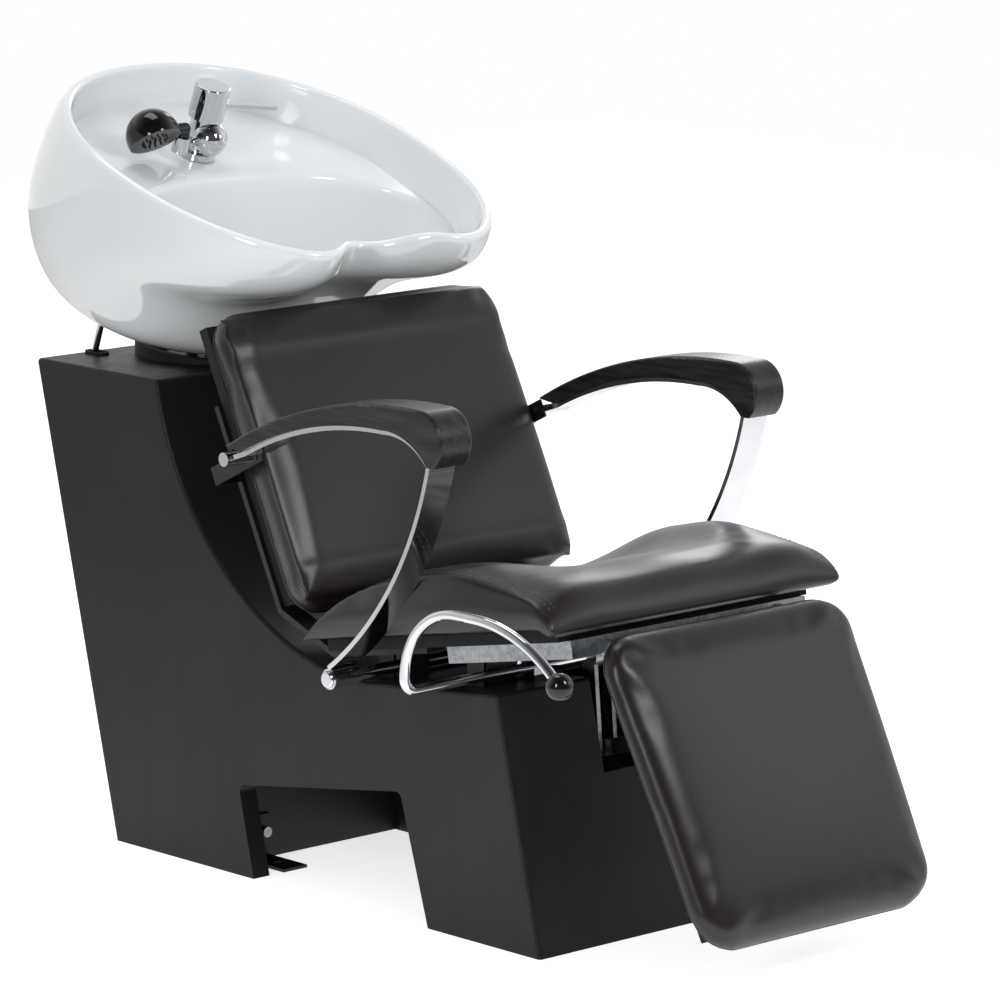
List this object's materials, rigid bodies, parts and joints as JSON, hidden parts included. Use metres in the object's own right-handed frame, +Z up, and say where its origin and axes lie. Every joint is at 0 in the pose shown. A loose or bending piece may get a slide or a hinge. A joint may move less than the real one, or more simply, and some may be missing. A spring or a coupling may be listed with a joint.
{
  "type": "backwash unit",
  "caption": "Salon backwash unit: tilting ceramic basin on a moulded cabinet, padded reclined seat with armrests and a lever-raised leg rest.",
  "frame": {"origin": "middle of the four floor bolt holes, on the floor", "axes": "+Z up, the client faces -Y, the basin is at +Y, +X to the client's left"},
  "size_m": [0.6305, 1.3843, 0.9958],
  "materials": {
    "black_grp": "satin moulded glass-fibre laminate",
    "black_steel": "black powder coat",
    "zinc_steel": "bright zinc plate",
    "black_rubber": "matt moulded rubber",
    "plywood": "birch plywood under stapled black lining cloth",
    "black_vinyl": "grained upholstery vinyl",
    "chrome": "polished chrome plate",
    "stained_wood": "black stain under satin lacquer",
    "white_ceramic": "white glaze",
    "black_plastic": "polished moulding"
  },
  "bodies": {
    "base": {"base_shell": "black_grp", "toe_space_liner": "black_steel", "floor_brackets": "black_steel", "tilt_pedestal": "black_steel", "seat_risers": "black_steel", "back_uprights": "black_steel", "cross_bar_clamps": "black_steel", "arm_back_brackets": "black_steel", "floor_bracket_bolts": "zinc_steel", "tilt_pedestal_bolts": "zinc_steel", "tilt_pins": "zinc_steel", "seat_bolts": "zinc_steel", "seat_side_rails": "zinc_steel", "seat_front_rail": "zinc_steel", "leg_hinge_pins": "zinc_steel", "back_screws": "zinc_steel", "rod_grommets": "black_rubber", "basin_collar": "black_rubber", "seat_board": "plywood", "back_board": "plywood", "seat_cushion": "black_vinyl", "back_cushion": "black_vinyl", "arm_cross_bar": "chrome", "arm_end_bolts": "chrome", "arm_bar_left": "chrome", "arm_bar_right": "chrome", "shaft_bushes": "chrome", "arm_cap_left": "stained_wood", "arm_cap_right": "stained_wood"},
    "lever": {"lever_rod": "chrome", "ball_knob": "black_plastic", "crank_arm": "zinc_steel", "crank_pin": "zinc_steel"},
    "link": {"drive_link": "zinc_steel"},
    "legrest": {"leg_bracket": "zinc_steel", "leg_link_pin": "zinc_steel", "leg_board": "plywood", "leg_cushion": "black_vinyl", "leg_screws": "zinc_steel"},
    "basin": {"basin": "white_ceramic", "basin_saddle": "black_steel", "guide_rods": "chrome", "waste_strainer": "chrome", "waste_nut": "black_plastic", "waste_tail": "black_plastic", "tap_flange": "chrome", "tap_body": "chrome", "tap_nut": "zinc_steel", "shower_holder": "chrome"},
    "tap_cap": {"tap_cap": "chrome", "tap_lever_pin": "zinc_steel"},
    "tap_lever": {"tap_lever": "chrome"},
    "shower": {"hand_shower": "black_plastic", "spray_plate": "black_plastic"}
  },
  "joints": [
    {"name": "legrest_lift", "type": "hinge", "parent": "base", "child": "legrest", "pos_m": [0, -0.42556, 0.38653], "axis": [-1, 0, 0], "range_deg": [0, 45]},
    {"name": "lever_turn", "type": "hinge", "parent": "base", "child": "lever", "pos_m": [0, -0.236, 0.33], "axis": [-1, 0, 0], "range_deg": [0, 45]},
    {"name": "link_swing", "type": "hinge", "parent": "lever", "child": "link", "pos_m": [0, -0.246, 0.212], "axis": [-1, 0, 0], "range_deg": [-45, 0]},
    {"name": "basin_tilt", "type": "hinge", "parent": "base", "child": "basin", "pos_m": [0, 0.49, 0.643], "axis": [-1, 0, 0], "range_deg": [0, 12]},
    {"name": "mixer_turn", "type": "hinge", "parent": "basin", "child": "tap_cap", "pos_m": [0, 0.53239, 0.88368], "axis": [0, -0.3404, 0.9403], "range_deg": [-45, 45]},
    {"name": "mixer_lift", "type": "hinge", "parent": "tap_cap", "child": "tap_lever", "pos_m": [0.01721, 0.50178, 0.95279], "axis": [-0.2924, -0.8992, -0.3255], "range_deg": [0, 15]},
    {"name": "shower_lift", "type": "slide", "parent": "basin", "child": "shower", "axis": [0, -0.3404, 0.9403], "range_m": [0, 0.06]}
  ],
  "couplings": [
    {"joint": "lever_turn", "follows": "legrest_lift", "ratio": 1},
    {"joint": "link_swing", "follows": "legrest_lift", "ratio": -1}
  ]
}
